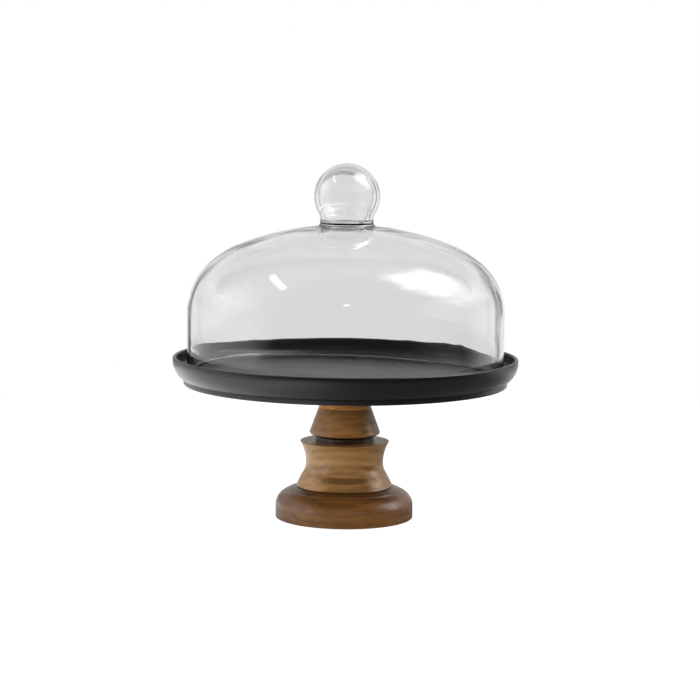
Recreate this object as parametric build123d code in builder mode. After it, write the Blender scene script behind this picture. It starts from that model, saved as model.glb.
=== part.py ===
from build123d import *
from math import asin, cos, degrees, radians, sin, sqrt
import os

# A footed cheese dome: a glass bell with a ball knob, standing loose on a round tray that is
# bolted to a foot of three wood turnings. Lengths are millimetres, the table is z = 0, and
# every piece is turned, blown or moulded about the Z axis.

os.makedirs("parts", exist_ok=True)

# --- Driving dimensions: heights of the seams, from the table up ---
base_underside_z = 0.2
base_top_z = 27.3
waist_top_z = 67.1
stem_top_z = 116.0
tray_foot_z = 117.2
tray_floor_z = 126.3
tray_rim_z = 140.9
lip_clearance = 0.2
bell_top_z = 254.9
knob_centre_z = 279.1

# --- Base turning ---
base_r = 59.8
base_wall_top_z = 12.8
base_shoulder_end = (49.8, 23.9)
base_shoulder_r = 14.2
base_step = (49.0, 24.7)
base_edge_round = 0.5

# --- Waist turning: an ogee foot, a cove and a sharp flared top ---
waist_foot_r = 41.9
waist_groove = 0.7
waist_foot_lean = 22.6
waist_ogee_lean = 30.8
waist_ogee_r = 89.0
waist_cove_r = 17.6
waist_top_r = 38.8
waist_top_round = 0.3

# --- Cone turning: neck, rounded shoulder, taper, and a cove up to its top flange ---
cone_neck_r = 25.4
cone_neck_z = 71.2
cone_shoulder = (32.2, 74.0)
cone_shoulder_round = 5.0
cone_throat = (21.4, 100.6)
flange_r = 36.0
flange_cove_end = (29.1, 112.0)
flange_round = 1.2

# --- Spigots and sockets that centre the turnings ---
lower_spigot_r = 16.0
upper_spigot_r = 14.0
socket_depth = 7.0
spigot_gap = 0.3
spigot_clearance = 0.1

# --- Tie bolt and its washers (an M6 socket-head screw) ---
bolt_r = 3.0
bolt_length = 110.0
bolt_head_r = 5.0
bolt_head_height = 6.0
bolt_key_across_flats = 5.0
bolt_key_depth = 3.2
bolt_chamfer = 0.5
flat_washer_r = 9.0
flat_washer_thickness = 1.6
lock_washer_r = 5.9
lock_washer_thickness = 1.6
lock_washer_slot = 1.4
bolt_clearance = 0.3
washer_clearance = 0.2
counterbore_r = 11.0
counterbore_top_z = 16.3

# --- Tray: foot ring, floor, flared wall and rounded rim ---
tray_r = 149.6
tray_wall_arc_r = 20.1
tray_wall_top_z = 138.2
tray_underside_z = 119.9
tray_foot_outer_r = 140.2
tray_foot_inner_r = 132.0
tray_foot_round = 0.9
tray_rim_thickness = 3.3
tray_floor_fillet = 8.5
tray_boss_r = 37.0
tray_boss_fillet = 1.6

# --- Threaded insert, cushion washer and felt ---
insert_r = 5.0
insert_length = 6.2
insert_groove_depth = 0.4
insert_groove_height = 1.0
insert_bore_clearance = 0.05
cushion_outer_r = 33.0
cushion_inner_r = 14.0
felt_outer_r = 56.0
felt_inner_r = 18.0
felt_thickness = 2.0
felt_edge_gap = 0.5

# --- Glass bell: crown, haunch and shoulder arcs, then a straight side ---
bell_r = 137.0
bell_wall = 4.3
crown_r = 253.0
crown_half_angle = 21.0
haunch_r = 91.0
haunch_angle = 18.8

# --- Glass knob ---
ball_r = 28.6
knob_wall = 4.5
knob_neck_r = 23.1
knob_neck_fillet = 9.0
knob_foot_flare = 3.8
knob_flare_sweep = 72.0

# --- Worked out from the above ---
bolt_seat_z = counterbore_top_z - flat_washer_thickness - lock_washer_thickness
bolt_hole_r = bolt_r + bolt_clearance
lip_z = tray_floor_z + lip_clearance
crown_angle = radians(crown_half_angle)
shoulder_start = radians(crown_half_angle + haunch_angle)
shoulder_r = (
    bell_r - crown_r * sin(crown_angle) - haunch_r * (sin(shoulder_start) - sin(crown_angle))
) / (1 - sin(shoulder_start))
side_top_z = (
    bell_top_z
    - crown_r * (1 - cos(crown_angle))
    - haunch_r * (cos(crown_angle) - cos(shoulder_start))
    - shoulder_r * cos(shoulder_start)
)


def crown_height(radius):
    """Height of the bell's outer face at a distance from the axis, on the crown."""
    return bell_top_z - crown_r + sqrt(crown_r**2 - radius**2)


# A felt ring set into the underside of the base and standing slightly proud of it.
with BuildPart() as felt_ring:
    with BuildSketch(Plane.XY):
        Circle(felt_outer_r)
        Circle(felt_inner_r, mode=Mode.SUBTRACT)
    extrude(amount=felt_thickness)

felt_ring.part.label = "felt_ring"
export_step(felt_ring.part, "parts/felt_ring.step")


# The base disc: rounded shoulder, a small step, and a nearly flat ring that carries the waist.
with BuildPart() as foot_base:
    with BuildSketch(Plane.XZ):
        with BuildLine():
            underside = Line((0, base_underside_z), (base_r, base_underside_z))
            wall = Line(underside @ 1, (base_r, base_wall_top_z))
            shoulder = RadiusArc(wall @ 1, base_shoulder_end, -base_shoulder_r)
            step = Line(shoulder @ 1, base_step)
            ring = Line(step @ 1, (waist_foot_r, base_top_z))
            top = Line(ring @ 1, (0, base_top_z))
            Line(top @ 1, underside @ 0)
        make_face()
    revolve(axis=Axis.Z)
    bottom_face = foot_base.faces().sort_by(Axis.Z)[0]
    fillet(bottom_face.edges(), base_edge_round)
    with BuildSketch(Plane.XY.offset(base_underside_z)):
        Circle(felt_outer_r + felt_edge_gap)
        Circle(felt_inner_r - felt_edge_gap, mode=Mode.SUBTRACT)
    extrude(amount=felt_thickness - base_underside_z, mode=Mode.SUBTRACT)
    with BuildSketch(Plane.XY.offset(base_underside_z)):
        Circle(counterbore_r)
    extrude(amount=counterbore_top_z - base_underside_z, mode=Mode.SUBTRACT)
    with BuildSketch(Plane.XY.offset(base_top_z - socket_depth)):
        Circle(lower_spigot_r)
    extrude(amount=socket_depth, mode=Mode.SUBTRACT)
    with BuildSketch(Plane.XY.offset(counterbore_top_z)):
        Circle(bolt_hole_r)
    extrude(amount=base_top_z - counterbore_top_z, mode=Mode.SUBTRACT)

foot_base.part.label = "foot_base"
export_step(foot_base.part, "parts/foot_base.step")


# The waist: an ogee foot runs into a cove, which flares to a sharp edge under a flat top.
# A spigot below fits the base, and a socket above takes the cone's spigot.
with BuildPart() as stem_waist:
    with BuildSketch(Plane.XZ):
        with BuildLine():
            groove_top = (waist_foot_r, base_top_z + waist_groove)
            foot = Line((0, base_top_z), (waist_foot_r - waist_groove, base_top_z))
            groove = Line(foot @ 1, groove_top)
            lean = radians(waist_foot_lean)
            ogee = JernArc(
                groove_top, (-sin(lean), cos(lean)), waist_ogee_r, waist_ogee_lean - waist_foot_lean
            )
            cove = JernArc(ogee @ 1, ogee % 1, waist_cove_r, -waist_ogee_lean)
            throat = cove @ 1
            flare = TangentArc(throat, (waist_top_r, waist_top_z), tangent=(0, 1))
            top = Line(flare @ 1, (0, waist_top_z))
            Line(top @ 1, foot @ 0)
        make_face()
    revolve(axis=Axis.Z)
    rim_edge = stem_waist.edges().filter_by(GeomType.CIRCLE).sort_by(Axis.Z)[-1]
    fillet(rim_edge, waist_top_round)
    with BuildSketch(Plane.XY.offset(base_top_z - socket_depth + spigot_gap)):
        Circle(lower_spigot_r - spigot_clearance)
    extrude(amount=socket_depth - spigot_gap)
    with BuildSketch(Plane.XY.offset(waist_top_z - socket_depth)):
        Circle(upper_spigot_r)
    extrude(amount=socket_depth, mode=Mode.SUBTRACT)
    with BuildSketch(Plane.XY):
        Circle(bolt_hole_r)
    extrude(amount=waist_top_z, mode=Mode.SUBTRACT)

stem_waist.part.label = "stem_waist"
export_step(stem_waist.part, "parts/stem_waist.step")


# The cone: a narrow neck, a rounded shoulder, a straight taper, and above the throat a cove
# that opens to the flange under the tray.
with BuildPart() as stem_cone:
    with BuildSketch(Plane.XZ):
        with BuildLine():
            foot = Line((0, waist_top_z), (cone_neck_r, waist_top_z))
            neck = Line(foot @ 1, (cone_neck_r, cone_neck_z))
            under = Line(neck @ 1, cone_shoulder)
            taper = Line(under @ 1, cone_throat)
            cove = TangentArc(cone_throat, flange_cove_end, tangent=taper % 1)
            lip = Line(cove @ 1, (flange_r, flange_cove_end[1]))
            flange_edge = Line(lip @ 1, (flange_r, stem_top_z))
            top = Line(flange_edge @ 1, (0, stem_top_z))
            Line(top @ 1, foot @ 0)
        make_face()
    revolve(axis=Axis.Z)
    rings = stem_cone.edges().filter_by(GeomType.CIRCLE)
    shoulder_ring = rings.filter_by(lambda ring: abs(ring.center().Z - cone_shoulder[1]) < 0.1)
    fillet(shoulder_ring, cone_shoulder_round)
    flange_ring = stem_cone.edges().filter_by(GeomType.CIRCLE).sort_by(Axis.Z)[-1]
    fillet(flange_ring, flange_round)
    with BuildSketch(Plane.XY.offset(waist_top_z - socket_depth + spigot_gap)):
        Circle(upper_spigot_r - spigot_clearance)
    extrude(amount=socket_depth - spigot_gap)
    with BuildSketch(Plane.XY.offset(waist_top_z - socket_depth)):
        Circle(bolt_hole_r)
    extrude(amount=stem_top_z - waist_top_z + socket_depth, mode=Mode.SUBTRACT)

stem_cone.part.label = "stem_cone"
export_step(stem_cone.part, "parts/stem_cone.step")


# A socket-head screw, its head down in the counterbore. Its thread is a plain cylinder.
with BuildPart() as tie_bolt:
    with BuildSketch(Plane.XY.offset(bolt_seat_z)):
        Circle(bolt_r)
    extrude(amount=bolt_length)
    chamfer(tie_bolt.faces().sort_by(Axis.Z)[-1].edges(), bolt_chamfer)
    with BuildSketch(Plane.XY.offset(bolt_seat_z)):
        Circle(bolt_head_r)
    extrude(amount=-bolt_head_height)
    head_face = tie_bolt.faces().sort_by(Axis.Z)[0]
    chamfer(head_face.edges(), bolt_chamfer)
    with BuildSketch(Plane.XY.offset(bolt_seat_z - bolt_head_height)):
        RegularPolygon(bolt_key_across_flats / 2, 6, major_radius=False)
    extrude(amount=bolt_key_depth, mode=Mode.SUBTRACT)

tie_bolt.part.label = "tie_bolt"
export_step(tie_bolt.part, "parts/tie_bolt.step")


# A split spring washer between the head and the flat washer.
with BuildPart() as lock_washer:
    with BuildSketch(Plane.XY.offset(bolt_seat_z)):
        Circle(lock_washer_r)
        Circle(bolt_r + washer_clearance, mode=Mode.SUBTRACT)
        with Locations((lock_washer_r, 0)):
            Rectangle(2 * lock_washer_r, lock_washer_slot, mode=Mode.SUBTRACT)
    extrude(amount=lock_washer_thickness)

lock_washer.part.label = "lock_washer"
export_step(lock_washer.part, "parts/lock_washer.step")


# A flat washer bearing on the top of the counterbore.
with BuildPart() as flat_washer:
    with BuildSketch(Plane.XY.offset(bolt_seat_z + lock_washer_thickness)):
        Circle(flat_washer_r)
        Circle(bolt_r + washer_clearance, mode=Mode.SUBTRACT)
    extrude(amount=flat_washer_thickness)

flat_washer.part.label = "flat_washer"
export_step(flat_washer.part, "parts/flat_washer.step")


# A soft ring that keeps the tray off the wood.
with BuildPart() as cushion_washer:
    with BuildSketch(Plane.XY.offset(stem_top_z)):
        Circle(cushion_outer_r)
        Circle(cushion_inner_r, mode=Mode.SUBTRACT)
    extrude(amount=tray_foot_z - stem_top_z)

cushion_washer.part.label = "cushion_washer"
export_step(cushion_washer.part, "parts/cushion_washer.step")


# A brass insert cemented in the tray's boss, with two grooves that key it in the cement.
with BuildPart() as tray_insert:
    with BuildSketch(Plane.XY.offset(tray_foot_z)):
        Circle(insert_r)
        Circle(bolt_r + insert_bore_clearance, mode=Mode.SUBTRACT)
    extrude(amount=insert_length)
    for share in (1 / 3, 2 / 3):
        groove_z = tray_foot_z + share * insert_length - insert_groove_height / 2
        with BuildSketch(Plane.XY.offset(groove_z)):
            Circle(insert_r)
            Circle(insert_r - insert_groove_depth, mode=Mode.SUBTRACT)
        extrude(amount=insert_groove_height, mode=Mode.SUBTRACT)

tray_insert.part.label = "tray_insert"
export_step(tray_insert.part, "parts/tray_insert.step")


# The tray: foot ring and central boss on one level, flat floor, and a wall that curves out
# to a full-round rim.
with BuildPart() as tray:
    rim_r = tray_rim_thickness / 2
    rim_centre_z = tray_rim_z - rim_r
    heel_reach = tray_foot_outer_r - (tray_r - tray_wall_arc_r)
    heel_z = tray_wall_top_z - sqrt(tray_wall_arc_r**2 - heel_reach**2)
    with BuildSketch(Plane.XZ):
        with BuildLine():
            underside = Line((0, tray_foot_z), (tray_boss_r, tray_foot_z))
            boss = Line(underside @ 1, (tray_boss_r, tray_underside_z))
            recess = Line(boss @ 1, (tray_foot_inner_r, tray_underside_z))
            ring_in = Line(recess @ 1, (tray_foot_inner_r, tray_foot_z))
            ring = Line(ring_in @ 1, (tray_foot_outer_r, tray_foot_z))
            heel = Line(ring @ 1, (tray_foot_outer_r, heel_z))
            flare = RadiusArc(heel @ 1, (tray_r, tray_wall_top_z), -tray_wall_arc_r)
            outer = Line(flare @ 1, (tray_r, rim_centre_z))
            rim = JernArc(outer @ 1, (0, 1), rim_r, 180)
            inner = Line(rim @ 1, ((rim @ 1).X, tray_floor_z + tray_floor_fillet))
            corner = JernArc(inner @ 1, (0, -1), tray_floor_fillet, -90)
            floor = Line(corner @ 1, (0, tray_floor_z))
            Line(floor @ 1, underside @ 0)
        make_face()
    revolve(axis=Axis.Z)
    rings = tray.edges().filter_by(GeomType.CIRCLE)
    foot_rings = rings.filter_by(
        lambda ring: abs(ring.center().Z - tray_foot_z) < 0.1 and ring.radius > tray_boss_r + 1
    )
    fillet(foot_rings, tray_foot_round)
    boss_root = tray.edges().filter_by(GeomType.CIRCLE).filter_by(
        lambda ring: abs(ring.center().Z - tray_underside_z) < 0.1 and ring.radius < tray_boss_r + 1
    )
    fillet(boss_root, tray_boss_fillet)
    with BuildSketch(Plane.XY.offset(tray_foot_z)):
        Circle(insert_r)
    extrude(amount=insert_length, mode=Mode.SUBTRACT)

tray.part.label = "tray"
export_step(tray.part, "parts/tray.step")


# The bell: three tangent arcs from the crown down to a straight side, with an even wall and
# a fire-polished, full-round lip.
with BuildPart() as glass_dome:
    lip_r = bell_wall / 2
    with BuildSketch(Plane.XZ):
        with BuildLine():
            crown = JernArc((0, bell_top_z), (1, 0), crown_r, -crown_half_angle)
            haunch = JernArc(crown @ 1, crown % 1, haunch_r, -haunch_angle)
            shoulder_angle = 90 - crown_half_angle - haunch_angle
            shoulder = JernArc(haunch @ 1, haunch % 1, shoulder_r, -shoulder_angle)
            side = Line(shoulder @ 1, (bell_r, lip_z + lip_r))
            lip = JernArc(side @ 1, (0, -1), lip_r, -180)
            inner_side = Line(lip @ 1, (bell_r - bell_wall, side_top_z))
            inner_shoulder = JernArc(
                inner_side @ 1, (0, 1), shoulder_r - bell_wall, shoulder_angle
            )
            inner_haunch = JernArc(
                inner_shoulder @ 1, inner_shoulder % 1, haunch_r - bell_wall, haunch_angle
            )
            inner_crown = JernArc(
                inner_haunch @ 1, inner_haunch % 1, crown_r - bell_wall, crown_half_angle
            )
            Line(inner_crown @ 1, crown @ 0)
        make_face()
    revolve(axis=Axis.Z)

glass_dome.part.label = "glass_dome"
export_step(glass_dome.part, "parts/glass_dome.step")


# The knob: a blown ball on a short neck, open below, its flared foot fused to the crown.
with BuildPart() as glass_knob:
    inner_neck_r = knob_neck_r - knob_wall
    neck_centre_r = knob_neck_r + knob_neck_fillet
    reach = ball_r + knob_neck_fillet
    ball_sweep = 180 - degrees(asin(neck_centre_r / reach))
    neck_z = knob_centre_z - sqrt(reach**2 - neck_centre_r**2)
    flare_angle = radians(knob_flare_sweep)
    foot_r = knob_neck_r + knob_foot_flare * (1 - cos(flare_angle))
    flare_z = crown_height(foot_r) + knob_foot_flare * sin(flare_angle)
    with BuildSketch(Plane.XZ):
        with BuildLine():
            ball = JernArc((0, knob_centre_z + ball_r), (1, 0), ball_r, -ball_sweep)
            neck = JernArc(ball @ 1, ball % 1, knob_neck_fillet, ball_sweep - 90)
            side = Line(neck @ 1, (knob_neck_r, flare_z))
            flare = JernArc(side @ 1, (0, -1), knob_foot_flare, knob_flare_sweep)
            seat = RadiusArc(flare @ 1, (inner_neck_r, crown_height(inner_neck_r)), -crown_r)
            inner_side = Line(seat @ 1, (inner_neck_r, neck_z))
            inner_neck = JernArc(
                inner_side @ 1, (0, 1), knob_neck_fillet + knob_wall, 90 - ball_sweep
            )
            inner_ball = JernArc(inner_neck @ 1, inner_neck % 1, ball_r - knob_wall, ball_sweep)
            Line(inner_ball @ 1, ball @ 0)
        make_face()
    revolve(axis=Axis.Z)

glass_knob.part.label = "glass_knob"
export_step(glass_knob.part, "parts/glass_knob.step")
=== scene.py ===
from math import asin, atan2, cos, degrees, pi, radians, sin, sqrt, tan

import bpy
from mathutils import Matrix, Vector, noise


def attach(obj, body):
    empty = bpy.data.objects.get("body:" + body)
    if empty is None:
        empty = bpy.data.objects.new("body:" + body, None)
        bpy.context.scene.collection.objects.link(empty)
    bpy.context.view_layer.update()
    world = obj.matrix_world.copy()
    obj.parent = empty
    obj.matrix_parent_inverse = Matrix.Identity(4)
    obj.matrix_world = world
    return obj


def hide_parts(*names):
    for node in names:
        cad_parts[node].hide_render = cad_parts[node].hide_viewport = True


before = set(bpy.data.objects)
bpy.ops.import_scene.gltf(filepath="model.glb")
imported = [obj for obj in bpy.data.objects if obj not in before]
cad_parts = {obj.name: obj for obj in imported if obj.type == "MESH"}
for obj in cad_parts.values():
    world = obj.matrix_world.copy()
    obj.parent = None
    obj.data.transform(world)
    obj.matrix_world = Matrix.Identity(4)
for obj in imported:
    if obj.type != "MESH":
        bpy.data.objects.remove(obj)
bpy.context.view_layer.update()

# A footed cheese dome in a plain white studio, in metres and in the CAD's frame: z = 0 is the
# table, and the common axis of foot, tray and bell is x = y = 0. Outlines are in millimetres.

MM = 0.001


# --- Half sections and lathe -------------------------------------------------------------

class Outline:
    """A half section drawn like a turtle's path in the (r, z) plane, in millimetres."""

    def __init__(self, r, z, heading, step=0.5):
        self.points = [(r, z)]
        self.heading = heading
        self.step = step

    def line_to(self, r, z):
        r0, z0 = self.points[-1]
        length = sqrt((r - r0) ** 2 + (z - z0) ** 2)
        count = max(1, round(length / (4 * self.step)))
        for i in range(1, count + 1):
            self.points.append((r0 + (r - r0) * i / count, z0 + (z - z0) * i / count))
        self.heading = degrees(atan2(z - z0, r - r0))
        return self

    def turn(self, radius, angle, step=None):
        """A tangent arc; a positive angle turns left, a negative one right."""
        r0, z0 = self.points[-1]
        side = 1 if angle > 0 else -1
        start = radians(self.heading)
        centre_r = r0 - side * radius * sin(start)
        centre_z = z0 + side * radius * cos(start)
        count = max(3, round(radius * radians(abs(angle)) / (step or self.step)))
        for i in range(1, count + 1):
            now = start + radians(angle) * i / count
            self.points.append((centre_r + side * radius * sin(now), centre_z - side * radius * cos(now)))
        self.heading += angle
        return self

    def corner(self, r, z, radius, then):
        """A straight run towards a corner, rounded off in the direction of the next point."""
        r0, z0 = self.points[-1]
        come = degrees(atan2(z - z0, r - r0))
        leave = degrees(atan2(then[1] - z, then[0] - r))
        bend = (leave - come + 180) % 360 - 180
        back = radius * abs(tan(radians(bend) / 2))
        self.line_to(r - back * cos(radians(come)), z - back * sin(radians(come)))
        return self.turn(radius, bend, step=radius * radians(12))

    def sweep_to(self, r, z, arrive):
        """An arc to a point, ending there with a given heading."""
        r0, z0 = self.points[-1]
        chord = sqrt((r - r0) ** 2 + (z - z0) ** 2)
        bend = (arrive - degrees(atan2(z - z0, r - r0)) + 180) % 360 - 180
        self.heading = arrive - 2 * bend
        return self.turn(chord / (2 * sin(radians(abs(bend)))), 2 * bend)

    def bow_to(self, r, z, radius):
        """An arc of a given radius to a point, bulging to the left of the way there."""
        r0, z0 = self.points[-1]
        chord = sqrt((r - r0) ** 2 + (z - z0) ** 2)
        half = degrees(asin(chord / (2 * radius)))
        self.heading = degrees(atan2(z - z0, r - r0)) + half
        return self.turn(radius, -2 * half)

    def face(self, heading):
        self.heading = heading
        return self


def lathe(name, loops, segments=256):
    """A mesh turned about Z. Each loop is a half section and a warp, or None. A section that
    starts on the axis also ends on it; any other closes on itself. Drawn outwards over the
    top and down the outside, it faces out. warp(point, index, angle) shifts one point."""
    verts, faces = [], []
    for section, warp in loops:
        closed = section[0][0] > 1e-6
        rings = []
        for index, (r, z) in enumerate(section):
            turns = segments if r > 1e-6 else 1
            rings.append(list(range(len(verts), len(verts) + turns)))
            for k in range(turns):
                angle = 2 * pi * k / segments
                point = Vector((r * cos(angle), r * sin(angle), z))
                verts.append((warp(point, index, angle) if warp else point) * MM)
        following = rings[1:] + rings[:1] if closed else rings[1:]
        for a, b in zip(rings, following):
            for k in range(segments):
                n = (k + 1) % segments
                if len(a) == 1:
                    faces.append((a[0], b[k], b[n]))
                elif len(b) == 1:
                    faces.append((a[k], b[0], a[n]))
                else:
                    faces.append((a[k], b[k], b[n], a[n]))
    mesh = bpy.data.meshes.new(name)
    mesh.from_pydata(verts, [], faces)
    mesh.update()
    mesh.shade_smooth()
    mesh.set_sharp_from_angle(angle=radians(32))
    piece = bpy.data.objects.new(name, mesh)
    bpy.context.scene.collection.objects.link(piece)
    return piece


def add(piece, body, material, slot_name, *nodes):
    """Puts a piece on its body, in place of its CAD nodes, with its finish."""
    piece.data.materials.append(material)
    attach(piece, body)
    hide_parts(*nodes)
    return piece


# --- Materials ---------------------------------------------------------------------------

class Graph:
    """Short ways to add nodes to a tree and to join them."""

    def __init__(self, tree):
        self.tree = tree

    def node(self, kind, inputs=(), **settings):
        made = self.tree.nodes.new("ShaderNode" + kind)
        for key, value in settings.items():
            setattr(made, key, value)
        for socket, value in dict(inputs).items():
            self.feed(value, made.inputs[socket])
        return made

    def feed(self, value, socket):
        if isinstance(value, bpy.types.NodeSocket):
            self.tree.links.new(value, socket)
        else:
            socket.default_value = value

    def noise(self, vector, scale, detail=4.0, rough=0.55, distortion=0.0):
        inputs = {"Vector": vector, "Scale": scale, "Detail": detail, "Roughness": rough,
                  "Distortion": distortion}
        return self.node("TexNoise", inputs).outputs["Fac"]

    def range(self, value, low, high, to_low=0.0, to_high=1.0, curve="LINEAR"):
        inputs = {"Value": value, "From Min": low, "From Max": high, "To Min": to_low, "To Max": to_high}
        return self.node("MapRange", inputs, interpolation_type=curve).outputs[0]

    def window(self, value, low, high, edge):
        """1 between low and high, with soft edges."""
        up = self.range(value, low - edge, low + edge, curve="SMOOTHSTEP")
        down = self.range(value, high - edge, high + edge, 1.0, 0.0, curve="SMOOTHSTEP")
        return self.math("MULTIPLY", up, down)

    def math(self, operation, a, b=0.0, c=0.0):
        made = self.node("Math", operation=operation)
        for value, socket in zip((a, b, c), made.inputs):
            self.feed(value, socket)
        return made.outputs[0]

    def ramp(self, value, stops):
        made = self.node("ValToRGB", {"Fac": value})
        elements = made.color_ramp.elements
        while len(elements) < len(stops):
            elements.new(0.5)
        for element, (position, colour) in zip(elements, stops):
            element.position = position
            element.color = (*colour, 1.0)
        return made.outputs[0]

    def mix(self, factor, a, b, blend="MIX"):
        made = self.node("Mix", data_type="RGBA", blend_type=blend)
        for socket, value in ((0, factor), (6, a), (7, b)):
            self.feed(value, made.inputs[socket])
        return made.outputs[2]


class Shader(Graph):
    """A node material: one Principled shader and the nodes that feed it."""

    def __init__(self, name, **constants):
        self.material = bpy.data.materials.new(name)
        self.material.use_nodes = True
        super().__init__(self.material.node_tree)
        self.surface = self.tree.nodes["Principled BSDF"]
        self.output = self.tree.nodes["Material Output"]
        for socket, value in constants.items():
            self.surface.inputs[socket.replace("_", " ")].default_value = value
        self.place = self.node("TexCoord").outputs["Object"]

    def placed(self, scale, shift=(0.0, 0.0, 0.0)):
        """The place on the object, scaled along each axis and moved."""
        inputs = {"Vector": self.place, "Location": shift, "Scale": scale}
        return self.node("Mapping", inputs).outputs[0]

    def bump(self, height, distance, strength=1.0):
        inputs = {"Height": height, "Distance": distance, "Strength": strength}
        self.tree.links.new(self.node("Bump", inputs).outputs[0], self.surface.inputs["Normal"])

    def link(self, value, socket):
        self.tree.links.new(value, self.surface.inputs[socket])


# --- Glass -------------------------------------------------------------------------------

LIP_Z = 126.5
BELL_R, BELL_WALL, BELL_TOP_Z = 137.0, 4.8, 254.9
CROWN_R, CROWN_TURN = 253.0, 21.0
HAUNCH_R, HAUNCH_TURN = 91.0, 18.8
INNER_SIDE_TOP_Z = BELL_TOP_Z - 76.0
BALL_R, BALL_Z, KNOB_WALL = 28.6, 279.1, 4.7
NECK_R, NECK_FILLET = 23.1, 9.0
FOOT_FLARE_R, FOOT_FLARE_TURN = 3.8, 72.0

reach_in = CROWN_R * sin(radians(CROWN_TURN))
haunch_out = sin(radians(CROWN_TURN + HAUNCH_TURN)) - sin(radians(CROWN_TURN))
shoulder_r = (BELL_R - reach_in - HAUNCH_R * haunch_out) / (1 - sin(radians(CROWN_TURN + HAUNCH_TURN)))
shoulder_turn = 90 - CROWN_TURN - HAUNCH_TURN
ball_turn = 180 - degrees(asin((NECK_R + NECK_FILLET) / (BALL_R + NECK_FILLET)))


def crown_z(r):
    return BELL_TOP_Z - CROWN_R + sqrt(CROWN_R ** 2 - r ** 2)


def bell_outside():
    """From the knob's top down to the lip, and round it to the inner wall."""
    flare_end_r = NECK_R + FOOT_FLARE_R * (1 - cos(radians(FOOT_FLARE_TURN)))
    flare_start_z = crown_z(flare_end_r) + FOOT_FLARE_R * sin(radians(FOOT_FLARE_TURN))
    lean = degrees(asin(flare_end_r / CROWN_R))
    path = Outline(0, BALL_Z + BALL_R, 0, step=0.8)
    path.turn(BALL_R, -ball_turn).turn(NECK_FILLET, ball_turn - 90)
    path.line_to(NECK_R, flare_start_z).turn(FOOT_FLARE_R, FOOT_FLARE_TURN, step=0.4)
    path.face(-lean).turn(CROWN_R, lean - CROWN_TURN, step=1.6)
    path.turn(HAUNCH_R, -HAUNCH_TURN, step=1.6).turn(shoulder_r, -shoulder_turn, step=1.6)
    path.line_to(BELL_R, LIP_Z + BELL_WALL / 2)
    return path.turn(BELL_WALL / 2, -180, step=0.5)


outside = bell_outside()
lip_end = len(outside.points)
outside.step = 1.0
outside.line_to(BELL_R - BELL_WALL, INNER_SIDE_TOP_Z)
outside.turn(shoulder_r - BELL_WALL, shoulder_turn, step=1.6)
outside.turn(HAUNCH_R - BELL_WALL, HAUNCH_TURN, step=1.6)
outside.turn(CROWN_R - BELL_WALL, CROWN_TURN, step=1.6)
outside.points[-1] = (0.0, outside.points[-1][1])


def soft_noise(point, size, seed):
    """Smooth noise round zero, with hollows of about this size in millimetres."""
    return noise.noise(Vector((point.x / size + seed, point.y / size, point.z / size)))


WAVE, BORE_SHIFT, CALM_Z = 0.12, -1.5, 129.0


def blown(point, index, angle):
    """Hand-blown unevenness: the outside dips by up to 0.2 mm, and the inner wall is a little
    off centre, least of all at the lip."""
    out = Vector((point.x, point.y, 0)).normalized() if point.x or point.y else Vector((0, 0, 1))
    if index < lip_end:
        dip = WAVE * (soft_noise(point, 60.0, 3.1) - 0.7) * min(1.0, max(0.0, (point.z - CALM_Z) / 20))
        return point + out * dip + Vector((0, 0, dip * 0.5))
    r = sqrt(point.x ** 2 + point.y ** 2)
    rise = min(1.0, max(0.0, (point.z - CALM_Z) / 30))
    wave = WAVE * soft_noise(point, 60.0, 8.7) * rise
    off_centre = BORE_SHIFT * (0.35 + 0.65 * rise) * min(1.0, r / 110.0)
    return point + out * wave + Vector((off_centre, 0, wave))


def bubble_section():
    """The air inside the knob, drawn from its floor up so that it faces inwards."""
    floor_z, corner = crown_z(0) + 3.0, 1.5
    bore = NECK_R - KNOB_WALL
    neck_z = BALL_Z - sqrt((BALL_R + NECK_FILLET) ** 2 - (NECK_R + NECK_FILLET) ** 2)
    path = Outline(0, floor_z, 0, step=0.8)
    path.line_to(bore - corner, floor_z).turn(corner, 90, step=0.5).line_to(bore, neck_z)
    path.turn(NECK_FILLET + KNOB_WALL, 90 - ball_turn).turn(BALL_R - KNOB_WALL, ball_turn)
    path.points[-1] = (0.0, path.points[-1][1])
    return path.points


def uneven_bubble(point, index, angle):
    wave = 0.25 * soft_noise(point, 18.0, 5.5)
    return point + Vector((-0.9 + wave, wave, wave))


# To shadow rays the glass is a pale clear sheet, so the lamps light what stands behind it.
glass = Shader("clear_glass", Base_Color=(0.93, 0.932, 0.93, 1.0), Roughness=0.0, IOR=1.5,
               Transmission_Weight=1.0)
seeds = glass.noise(glass.place, 38.0, detail=1.0)
glass.bump(glass.range(seeds, 0.3, 0.7, 0.0, 1.0), 0.0002, 0.35)
open_shadow = glass.node("BsdfTransparent", {"Color": (0.93, 0.93, 0.93, 1.0)})
shadow_ray = glass.node("LightPath").outputs["Is Shadow Ray"]
through = glass.node("MixShader", {0: shadow_ray, 1: glass.surface.outputs[0], 2: open_shadow.outputs[0]})
glass.tree.links.new(through.outputs[0], glass.output.inputs["Surface"])

bell = lathe("blown_glass", [(outside.points, blown), (bubble_section(), uneven_bubble)], segments=288)
add(bell, "dome", glass.material, "clear_glass", "glass_dome", "glass_knob")


# --- Tray --------------------------------------------------------------------------------

TRAY_R, TRAY_RIM_Z, TRAY_FLOOR_Z, TRAY_FOOT_Z = 149.6, 140.9, 126.3, 117.2
TRAY_RIM_R, WALL_ARC_R, FLOOR_FILLET = 1.65, 20.1, 8.5
WALL_TOP_Z, UNDERSIDE_Z = 138.2, 119.9
FOOT_OUT_R, FOOT_IN_R, FOOT_EDGE, BOSS_R = 140.2, 132.0, 0.9, 37.0
INSERT_R, INSERT_TOP_Z = 5.0, 123.4

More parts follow.
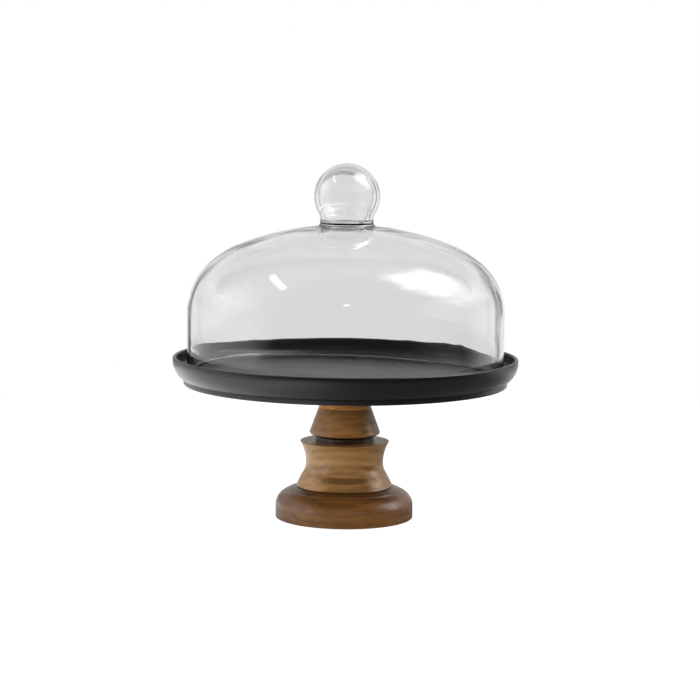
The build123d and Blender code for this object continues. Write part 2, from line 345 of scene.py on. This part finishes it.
tray_path = Outline(0, TRAY_FLOOR_Z, 0, step=0.8)
tray_path.line_to(TRAY_R - 2 * TRAY_RIM_R - FLOOR_FILLET, TRAY_FLOOR_Z).turn(FLOOR_FILLET, 90)
tray_path.line_to(TRAY_R - 2 * TRAY_RIM_R, TRAY_RIM_Z - TRAY_RIM_R).turn(TRAY_RIM_R, -180, step=0.3)
tray_path.line_to(TRAY_R, WALL_TOP_Z)
tray_path.turn(WALL_ARC_R, -degrees(pi / 2 - asin((FOOT_OUT_R - TRAY_R + WALL_ARC_R) / WALL_ARC_R)))
tray_path.corner(FOOT_OUT_R, TRAY_FOOT_Z, FOOT_EDGE, (FOOT_IN_R, TRAY_FOOT_Z))
tray_path.corner(FOOT_IN_R, TRAY_FOOT_Z, FOOT_EDGE, (FOOT_IN_R, UNDERSIDE_Z))
tray_path.corner(FOOT_IN_R, UNDERSIDE_Z, 1.2, (BOSS_R, UNDERSIDE_Z))
tray_path.corner(BOSS_R, UNDERSIDE_Z, 1.6, (BOSS_R, TRAY_FOOT_Z))
tray_path.corner(BOSS_R, TRAY_FOOT_Z, 0.5, (INSERT_R, TRAY_FOOT_Z))
tray_path.line_to(INSERT_R, TRAY_FOOT_Z).line_to(INSERT_R, INSERT_TOP_Z).line_to(0, INSERT_TOP_Z)


TRUE_R, WARP = 60.0, 0.22


def hand_made(point, index, angle):
    """The glaze and the pressed clay are never quite even; the wall only ever moves inwards."""
    r = sqrt(point.x ** 2 + point.y ** 2)
    if r < TRUE_R:
        return point
    dip = WARP * (soft_noise(point, 70.0, 1.4) - 0.7) * min(1.0, (r - TRUE_R) / 60)
    return point + Vector((point.x / r * dip, point.y / r * dip, 0))


glaze = Shader("black_glaze", Roughness=0.3, IOR=1.5)
cloud = glaze.noise(glaze.place, 22.0, detail=5.0)
speck = glaze.noise(glaze.place, 900.0, detail=2.0)
tone = glaze.ramp(cloud, [(0.3, (0.0014, 0.0014, 0.0015)), (0.7, (0.0034, 0.0033, 0.0032))])
specks = glaze.range(speck, 0.62, 0.75, 0.0, 0.5)
glaze.link(glaze.mix(specks, tone, (0.008, 0.008, 0.008, 1.0)), "Base Color")
glaze.link(glaze.range(cloud, 0.3, 0.7, 0.27, 0.35), "Roughness")
orange_peel = glaze.noise(glaze.place, 160.0, detail=4.0, rough=0.6)
glaze.bump(orange_peel, 0.0002, 0.12)

tray = lathe("glazed_tray", [(tray_path.points, hand_made)], segments=288)
add(tray, "stand", glaze.material, "black_glaze", "tray")


# --- Foot: three wood turnings -----------------------------------------------------------

BASE_TOP_Z, WAIST_TOP_Z, STEM_TOP_Z = 27.3, 67.1, 116.0
BOLT_HOLE_R, SOCKET_DEPTH = 3.3, 7.0
LOWER_SPIGOT_R, UPPER_SPIGOT_R, SPIGOT_CLEARANCE, SPIGOT_GAP = 16.0, 14.0, 0.1, 0.3
LOWER_SOCKET_Z, UPPER_SOCKET_Z = BASE_TOP_Z - SOCKET_DEPTH, WAIST_TOP_Z - SOCKET_DEPTH
STEM_NECK_R, SHOULDER_ROUND = 25.4, 1.5
CAP_R, CAP_Z, CAP_INNER_R = 36.0, 112.0, 29.1

FELT_OUT_R, FELT_IN_R, FELT_T, FELT_GAP = 56.0, 18.0, 2.0, 0.5
RECESS_OUT_R, RECESS_IN_R = FELT_OUT_R + FELT_GAP, FELT_IN_R - FELT_GAP
COUNTERBORE_R, COUNTERBORE_TOP_Z, UNDERSIDE = 11.0, 16.3, 0.2

base_path = Outline(LOWER_SPIGOT_R, BASE_TOP_Z, 0)
base_path.line_to(41.9, BASE_TOP_Z).corner(49.0, 24.7, 0.3, (49.3, 23.9))
base_path.line_to(49.3, 24.1).line_to(49.8, 23.9).bow_to(59.8, 12.8, 14.2)
base_path.corner(59.8, UNDERSIDE, 0.6, (57.0, UNDERSIDE)).line_to(RECESS_OUT_R, UNDERSIDE)
base_path.line_to(RECESS_OUT_R, FELT_T).line_to(RECESS_IN_R, FELT_T)
base_path.line_to(RECESS_IN_R, UNDERSIDE)
base_path.corner(COUNTERBORE_R, UNDERSIDE, 0.4, (COUNTERBORE_R, 10.0))
base_path.line_to(COUNTERBORE_R, COUNTERBORE_TOP_Z).line_to(BOLT_HOLE_R, COUNTERBORE_TOP_Z)
base_path.line_to(BOLT_HOLE_R, LOWER_SOCKET_Z).line_to(LOWER_SPIGOT_R, LOWER_SOCKET_Z)

waist_path = Outline(BOLT_HOLE_R, UPPER_SOCKET_Z, 0)
waist_path.line_to(UPPER_SPIGOT_R, UPPER_SOCKET_Z).line_to(UPPER_SPIGOT_R, WAIST_TOP_Z)
waist_path.corner(38.8, WAIST_TOP_Z, 0.3, (38.5, 66.5)).sweep_to(33.7, 48.4, -90)
waist_path.turn(17.6, 30.8).turn(89.0, -8.2)
waist_path.line_to(41.2, BASE_TOP_Z).line_to(LOWER_SPIGOT_R - SPIGOT_CLEARANCE, BASE_TOP_Z)
waist_path.line_to(LOWER_SPIGOT_R - SPIGOT_CLEARANCE, LOWER_SOCKET_Z + SPIGOT_GAP)
waist_path.line_to(BOLT_HOLE_R, LOWER_SOCKET_Z + SPIGOT_GAP)

cone_path = Outline(BOLT_HOLE_R, STEM_TOP_Z, 0)
cone_path.corner(CAP_R, STEM_TOP_Z, 1.2, (CAP_R, CAP_Z)).corner(CAP_R, CAP_Z, 0.4, (CAP_INNER_R, CAP_Z))
cone_path.line_to(CAP_INNER_R, CAP_Z).sweep_to(21.4, 100.6, -68)
cone_path.corner(31.1, 74.0, SHOULDER_ROUND, (STEM_NECK_R, 71.2))
cone_path.corner(STEM_NECK_R, 71.2, 0.3, (STEM_NECK_R, 68.0)).line_to(STEM_NECK_R, WAIST_TOP_Z)
cone_path.line_to(UPPER_SPIGOT_R - SPIGOT_CLEARANCE, WAIST_TOP_Z)
cone_path.line_to(UPPER_SPIGOT_R - SPIGOT_CLEARANCE, UPPER_SOCKET_Z + SPIGOT_GAP)
cone_path.line_to(BOLT_HOLE_R, UPPER_SOCKET_Z + SPIGOT_GAP)


# All in metres, as the shader works in them: how far the streaks pull the edges of a mark
# about, how soft those edges and a ring of painted light or shade are, and where marks fade
# out towards the back.
RAGGED_X, RAGGED_Z = 0.060, 0.004
MARK_EDGE_X, MARK_EDGE_Z, PAINTED_RING_EDGE = 0.006, 0.0016, 0.0004
FRONT_Y, BACK_Y = -0.012, 0.004


def oiled_wood(name, heart, sap, offset, marks, painted_light_rings):
    """Fibres lie along X, as in a blank cut from a board, so the sides show end grain. marks
    are streaks on the front, (low x, high x, low z, high z, depth), paler where the depth is
    negative. The last argument holds painted light and shade, as rings of the turning, (low z,
    high z, factor): painted shade below a factor of 1, painted light above it. Places are in
    millimetres."""
    wood = Shader(name, IOR=1.47, Specular_IOR_Level=0.35, Coat_Weight=0.4, Coat_Roughness=0.30)

    def grain(scale, noise_scale=1.0, detail=4.0, rough=0.55, distortion=0.0):
        return wood.noise(wood.placed(scale, offset), noise_scale, detail, rough, distortion)

    boards = grain((5.0, 22.0, 60.0), detail=3.0, distortion=0.5)
    streaks = grain((9.0, 160.0, 330.0), detail=6.0, rough=0.62, distortion=0.3)
    fibres = grain((45.0, 1500.0, 2200.0), detail=3.0, rough=0.6)
    pores = grain((110.0, 2600.0, 2600.0), detail=1.0)
    # growth rings round a pith far below the blank, bent by the wave's own distortion
    rings = wood.node("TexWave", {"Vector": wood.placed((0.25, 1.0, 1.0), offset), "Scale": 42.0,
                                  "Distortion": 5.0, "Detail": 3.0, "Detail Scale": 1.2,
                                  "Detail Roughness": 0.6},
                      wave_type="RINGS", rings_direction="X", wave_profile="SIN").outputs["Fac"]
    figure = wood.math("MULTIPLY", boards, 0.42)
    for layer, share in ((streaks, 0.40), (rings, 0.10), (fibres, 0.18)):
        figure = wood.math("MULTIPLY_ADD", layer, share, figure)
    x, y, z = wood.node("SeparateXYZ", {0: wood.place}).outputs
    ragged_x = wood.math("MULTIPLY_ADD", streaks, RAGGED_X, wood.math("SUBTRACT", x, RAGGED_X / 2))
    ragged_z = wood.math("MULTIPLY_ADD", streaks, RAGGED_Z, wood.math("SUBTRACT", z, RAGGED_Z / 2))
    front = wood.range(y, FRONT_Y, BACK_Y, 1.0, 0.0)
    for low_x, high_x, low_z, high_z, depth in marks:
        across = wood.window(ragged_x, low_x * MM, high_x * MM, MARK_EDGE_X)
        up = wood.window(ragged_z, low_z * MM, high_z * MM, MARK_EDGE_Z)
        mark = wood.math("MULTIPLY", wood.math("MULTIPLY", across, up), front)
        figure = wood.math("MULTIPLY_ADD", mark, -depth, figure)
    middle = tuple((a + b) / 2 for a, b in zip(heart, sap))
    darkest = tuple(0.6 * c for c in heart)
    colour = wood.ramp(figure, [(0.30, darkest), (0.38, heart), (0.55, middle), (0.74, sap)])
    hole = wood.range(pores, 0.62, 0.7, 0.0, 0.6)
    colour = wood.mix(hole, colour, (*(c * 0.45 for c in heart), 1.0))
    # rings of painted shade and painted light, multiplied into the colour
    for low_z, high_z, factor in painted_light_rings:
        ring = wood.window(z, low_z * MM, high_z * MM, PAINTED_RING_EDGE)
        painted_light_factor = wood.range(ring, 0.0, 1.0, 1.0, factor)
        grey = wood.node("CombineXYZ", {0: painted_light_factor, 1: painted_light_factor, 2: painted_light_factor}).outputs[0]
        colour = wood.mix(1.0, colour, grey, "MULTIPLY")
    wood.link(colour, "Base Color")
    wood.link(wood.range(streaks, 0.3, 0.7, 0.46, 0.34), "Roughness")
    relief = wood.math("SUBTRACT", wood.math("MULTIPLY", fibres, 0.5), hole)
    wood.bump(relief, 0.00012, 0.5)
    return wood.material


# name, outline, CAD node, slot, dark and pale colour, place in the board, marks, rings of painted light
# and shade
turnings = (
    ("turned_base", base_path, "foot_base", "base_wood",
     (0.056, 0.020, 0.003), (0.195, 0.084, 0.019), (0.31, 0.02, 0.17),
     [(-28, 20, 14, 22, 0.08), (10, 44, 4, 7, -0.08), (-44, -16, 7, 10, -0.08)],
     # painted shade along the seam with the waist
     [(25.2, 28.0, 0.6)]),
    ("turned_waist", waist_path, "stem_waist", "waist_wood",
     (0.165, 0.078, 0.020), (0.390, 0.205, 0.066), (0.07, 0.11, 0.24),
     [(-22, 22, 35, 39.5, 0.28), (-34, 24, 43.5, 48.5, 0.09), (-16, 26, 27, 33, 0.20)],
     # painted shade along the seam with the base
     [(26.0, 28.3, 0.3)]),
    ("turned_cone", cone_path, "stem_cone", "cone_wood",
     (0.130, 0.055, 0.012), (0.350, 0.168, 0.050), (0.53, 0.05, 0.09),
     [(2, 28, 83.5, 85.5, 0.24), (-20, -6, 95.5, 97.5, 0.16)],
     # painted shade in the neck under the shoulder; painted light on the cove under the cap, where the
     # tray shades it
     [(66.0, 73.2, 0.08), (96.5, 112.0, 2.6)]),
)
wooden = bpy.data.collections.new("lit_by_the_strips")
for name, path, node, slot_name, heart, sap, offset, marks, painted_light_rings in turnings:
    turning = lathe(name, [(path.points, None)], segments=192)
    add(turning, "stand", oiled_wood(slot_name, heart, sap, offset, marks, painted_light_rings), slot_name, node)
    wooden.objects.link(turning)


# --- Felt pad ----------------------------------------------------------------------------

def pressed(point, index, angle):
    """Fibres stand unevenly on the side that touches the table; the pad stays in its recess."""
    if point.z > 1.2:
        return point
    lift = 0.22 * (0.5 + soft_noise(point, 2.2, 4.4)) + 0.15 * (0.5 + soft_noise(point, 9.0, 2.2))
    return point + Vector((0, 0, max(0.0, lift)))


pad_path = Outline(FELT_IN_R, FELT_T, 0, step=0.35)
pad_path.line_to(FELT_OUT_R, FELT_T).corner(FELT_OUT_R, 0.0, 0.6, (50.0, 0.0))
pad_path.corner(FELT_IN_R, 0.0, 0.6, (FELT_IN_R, FELT_T))
felt = Shader("felt", Roughness=0.95, Sheen_Weight=0.35, Sheen_Roughness=0.5, IOR=1.4)
tangle = felt.noise(felt.place, 1400.0, detail=5.0, rough=0.7, distortion=1.2)
tuft = felt.noise(felt.place, 260.0, detail=3.0)
tone = felt.ramp(felt.math("ADD", felt.math("MULTIPLY", tangle, 0.6), felt.math("MULTIPLY", tuft, 0.4)),
                 [(0.32, (0.012, 0.010, 0.008)), (0.68, (0.062, 0.052, 0.042))])
felt.link(tone, "Base Color")
felt.bump(tangle, 0.0004, 0.8)
pad = lathe("felt_pad", [(pad_path.points, pressed)], segments=320)
add(pad, "stand", felt.material, "felt", "felt_ring")


# --- Hardware: CAD nodes with finer finishes ----------------------------------------------

def metal(name, colour, scratch, roughness):
    shader = Shader(name, Metallic=1.0)
    brushed = shader.noise(shader.placed((300.0, 300.0, 4200.0)), 1.0, detail=3.0)
    stain = shader.noise(shader.place, 240.0, detail=4.0)
    dull = tuple(c * 0.62 for c in colour)
    shader.link(shader.ramp(stain, [(0.35, dull), (0.62, colour)]), "Base Color")
    shader.link(shader.range(stain, 0.3, 0.7, roughness + 0.14, roughness), "Roughness")
    shader.bump(brushed, 0.00006, scratch)
    return shader.material


zinc = metal("zinc_steel", (0.62, 0.64, 0.66), 0.5, 0.26)
brass = metal("brass", (0.72, 0.50, 0.20), 0.3, 0.30)
silicone = Shader("silicone", Roughness=0.5, IOR=1.43)
haze = silicone.noise(silicone.place, 120.0, detail=4.0)
greys = silicone.ramp(haze, [(0.3, (0.030, 0.030, 0.031)), (0.7, (0.055, 0.055, 0.056))])
silicone.link(greys, "Base Color")
silicone.link(silicone.range(haze, 0.3, 0.7, 0.42, 0.58), "Roughness")
silicone.bump(silicone.noise(silicone.place, 1800.0, detail=2.0), 0.00008, 0.4)

finishes = {"tie_bolt": zinc, "lock_washer": zinc, "flat_washer": zinc, "tray_insert": brass,
            "cushion_washer": silicone.material}
for node, finish in finishes.items():
    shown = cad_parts[node]
    if not shown.material_slots:
        shown.data.materials.append(finish)
    for place in shown.material_slots:
        place.material = finish


# --- Studio ------------------------------------------------------------------------------

def aim(obj, place, target, roll=0.0):
    away = (Vector(place) - Vector(target)).to_track_quat("Z", "Y").to_matrix().to_4x4()
    obj.matrix_world = Matrix.Translation(place) @ away @ Matrix.Rotation(radians(roll), 4, "Z")


def softbox(name, place, target, size, watts, roll=0.0):
    light = bpy.data.lights.new(name, "AREA")
    light.shape = "RECTANGLE"
    light.size, light.size_y = size
    light.energy = watts
    lamp = bpy.data.objects.new(name, light)
    bpy.context.scene.collection.objects.link(lamp)
    aim(lamp, place, target, roll)
    return lamp


MIDDLE = (0.0, 0.0, 0.15)
# A long strip and a small square that show as highlights on the glass.
softbox("top_left_strip", (-1.17, -0.19, 1.93), (0.0, 0.0, 0.2), (1.0, 0.12), 2.5, roll=-16)
softbox("spark", (0.04, -1.9, 1.35), MIDDLE, (0.10, 0.10), 0.25)
# Strips that only gild the wood's flanks; the glass has its own lights.
strips = (
    softbox("strip_left", (-1.55, -0.95, 0.42), MIDDLE, (0.30, 0.75), 4.6),
    softbox("strip_right", (1.75, 0.15, 0.62), MIDDLE, (0.35, 0.50), 5.0),
    softbox("strip_low", (1.35, -1.25, 0.35), MIDDLE, (0.20, 0.35), 0.7),
)
for strip in strips:
    strip.light_linking.receiver_collection = wooden
# Broad fills that bring out the colours, and are hidden from reflections and through glass.
for fill in (softbox("front_fill", (0.35, -2.3, 0.85), MIDDLE, (2.4, 0.9), 46.0),
             softbox("left_fill", (-1.7, 0.35, 0.55), MIDDLE, (1.5, 1.1), 10.0)):
    fill.visible_glossy = False
    fill.visible_transmission = False

def seen_through(graph):
    """1 for what is looked at through glass. What the tray under the bell mirrors also comes
    by way of the glass, and is told apart by its glossy depth."""
    ray = graph.node("LightPath").outputs
    unmirrored = graph.math("LESS_THAN", ray["Glossy Depth"], 0.5)
    return graph.math("MULTIPLY", ray["Is Transmission Ray"], unmirrored)


# The table glows, evenly white to the eye, also through glass. Reflections and bounced light
# find a painted pool of light on it, bright on the left and behind, and dim elsewhere.
TABLE_R, TABLE_GLOW = 0.8, 0.92
table = lathe("studio_floor", [([(0.0, 0.0), (TABLE_R / MM, 0.0)], None)], segments=96)
paper = Shader("studio_floor", Roughness=0.9, Specular_IOR_Level=0.0, Emission_Color=(1.0, 1.0, 1.0, 1.0))
camera_ray = paper.node("LightPath").outputs["Is Camera Ray"]
looked_at = paper.math("MAXIMUM", camera_ray, seen_through(paper))
across, away, _ = paper.node("SeparateXYZ", {0: paper.place}).outputs
# a painted pool of light, glowing only for rays that are not looking at the table
pool = paper.range(across, -0.26, 0.06, 1.5, 0.0, curve="SMOOTHSTEP")
pool = paper.math("MAXIMUM", pool, paper.range(away, 0.05, 0.45, 0.0, 0.8, curve="SMOOTHSTEP"))
glow = paper.node("Mix", {0: looked_at, 2: pool, 3: TABLE_GLOW}, data_type="FLOAT").outputs[0]
paper.link(glow, "Emission Strength")
shades = [(0.0, (0.24, 0.24, 0.24)), (1.0, (0.26, 0.26, 0.26))]
paper.link(paper.ramp(paper.noise(paper.place, 3.0), shades), "Base Color")
table.data.materials.append(paper.material)

# The room, by direction. Seen directly it is white. Through glass it is a pale wall with a
# darker band above the horizon. In reflections it is bright behind and to the left and dim in
# front, with a soft cloud of light above. In both, two dark flags draw the bell's edges.
WALL_LEVEL, BAND_LEVEL, FLAG_SHADE = 0.92, 0.42, 0.35
FRONT_LEVEL, BACK_LEVEL, HORIZON_SHADE, OVERHEAD_SHADE = 0.05, 0.9, 0.8, 0.62
CLOUD, CLOUD_LEVEL = Vector((0.605, 0.084, 0.789)), 9.0
# one patch trails down from the cloud, and one is a window far left
PATCHES = ((Vector((0.82, 0.17, 0.54)), 2.6), (Vector((-0.93, 0.07, 0.36)), 1.1))

world = bpy.data.worlds.new("studio")
bpy.context.scene.world = world
world.use_nodes = True
room = Graph(world.node_tree)
toward = room.node("TexCoord").outputs["Generated"]
x, y, z = room.node("SeparateXYZ", {0: toward}).outputs


def nearness(direction):
    """1 straight towards a direction, and less away from it."""
    vectors = {0: toward, 1: direction.normalized()}
    return room.node("VectorMath", vectors, operation="DOT_PRODUCT").outputs["Value"]


side = room.math("DIVIDE", x, room.math("MAXIMUM", y, 0.02))
flags = room.math("MAXIMUM", room.window(side, -0.55, -0.35, 0.03), room.window(side, 0.52, 0.78, 0.04))
flag_height = room.window(z, -0.35, 0.3, 0.06)
flags = room.math("MULTIPLY", flags, room.math("MULTIPLY", room.range(y, 0.05, 0.3), flag_height))
unflagged = room.range(flags, 0.0, 1.0, 1.0, FLAG_SHADE)

wall = room.range(room.window(z, 0.14, 0.42, 0.05), 0.0, 1.0, WALL_LEVEL, BAND_LEVEL)
through_glass = room.math("MULTIPLY", wall, unflagged)

lean = room.math("MULTIPLY_ADD", x, -0.4, y)
mirrored = room.range(lean, -0.35, 0.15, FRONT_LEVEL, BACK_LEVEL, curve="SMOOTHSTEP")
near_horizon = room.window(z, 0.03, 0.3, 0.05)
overhead = room.range(z, 0.3, 0.55, 1.0, OVERHEAD_SHADE, curve="SMOOTHSTEP")
for shade in (room.range(near_horizon, 0.0, 1.0, 1.0, HORIZON_SHADE), overhead, unflagged):
    mirrored = room.math("MULTIPLY", mirrored, shade)
tufts = room.noise(toward, 6.0, detail=5.0, rough=0.65, distortion=1.2)
torn = room.math("MULTIPLY_ADD", tufts, 0.17, nearness(CLOUD))
cloud = room.range(torn, 0.990, 1.130, 0.0, CLOUD_LEVEL, curve="SMOOTHSTEP")
mirrored = room.math("ADD", mirrored, cloud)
stretched = room.node("Mapping", {"Vector": toward, "Scale": (3.0, 9.0, 7.0)}).outputs[0]
wisps = room.noise(stretched, 1.0, detail=5.0, rough=0.65, distortion=1.5)
for direction, patch_level in PATCHES:
    ragged = room.math("MULTIPLY_ADD", wisps, 0.22, nearness(direction))
    patch = room.range(ragged, 1.02, 1.14, 0.0, patch_level, curve="SMOOTHSTEP")
    mirrored = room.math("ADD", mirrored, patch)

level = room.node("Mix", {0: seen_through(room), 2: mirrored, 3: through_glass},
                  data_type="FLOAT").outputs[0]
level = room.math("MAXIMUM", level, room.node("LightPath").outputs["Is Camera Ray"])
background = room.tree.nodes["Background"].inputs
room.tree.links.new(level, background["Strength"])
background["Color"].default_value = (1.0, 1.0, 1.0, 1.0)

lens = bpy.data.cameras.new("camera")
lens.lens, lens.sensor_width = 109.18, 36.0
lens.clip_start, lens.clip_end = 0.05, 60.0
camera = bpy.data.objects.new("camera", lens)
bpy.context.scene.collection.objects.link(camera)
aim(camera, (0.0038, -1.8272, 0.3585), (0.0038, 0.0, 0.1463), roll=0.6)
bpy.context.scene.camera = camera
bpy.context.scene.view_settings.view_transform = "Standard"
